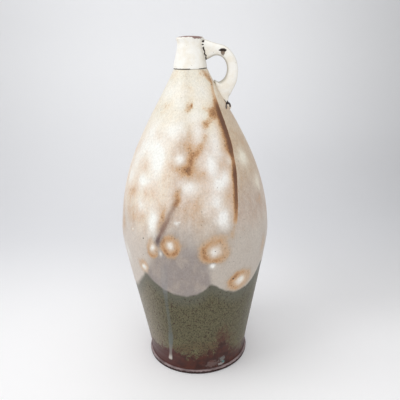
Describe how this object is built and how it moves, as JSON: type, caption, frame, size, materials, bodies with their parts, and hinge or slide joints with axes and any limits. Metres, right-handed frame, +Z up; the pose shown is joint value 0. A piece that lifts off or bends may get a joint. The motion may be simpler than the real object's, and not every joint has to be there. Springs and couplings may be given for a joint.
{
  "type": "stoneware bottle jug",
  "caption": "Tall glazed stoneware bottle jug with a narrow neck and a small one-finger loop handle.",
  "frame": {"origin": "middle of the underside of the foot slab", "axes": "+Z up along the axis of the body and neck, +X towards the handle"},
  "size_m": [0.1798, 0.1798, 0.4],
  "materials": {
    "iron_foot": "satin",
    "olive_glaze": "satin",
    "milky_glaze": "satin",
    "cream_glaze": "satin"
  },
  "bodies": {
    "root": {"foot_slab": "iron_foot", "lower_wall": "olive_glaze", "upper_wall": "milky_glaze", "neck_collar": "cream_glaze", "handle": "cream_glaze", "tail_pellet": "cream_glaze"}
  },
  "joints": []
}
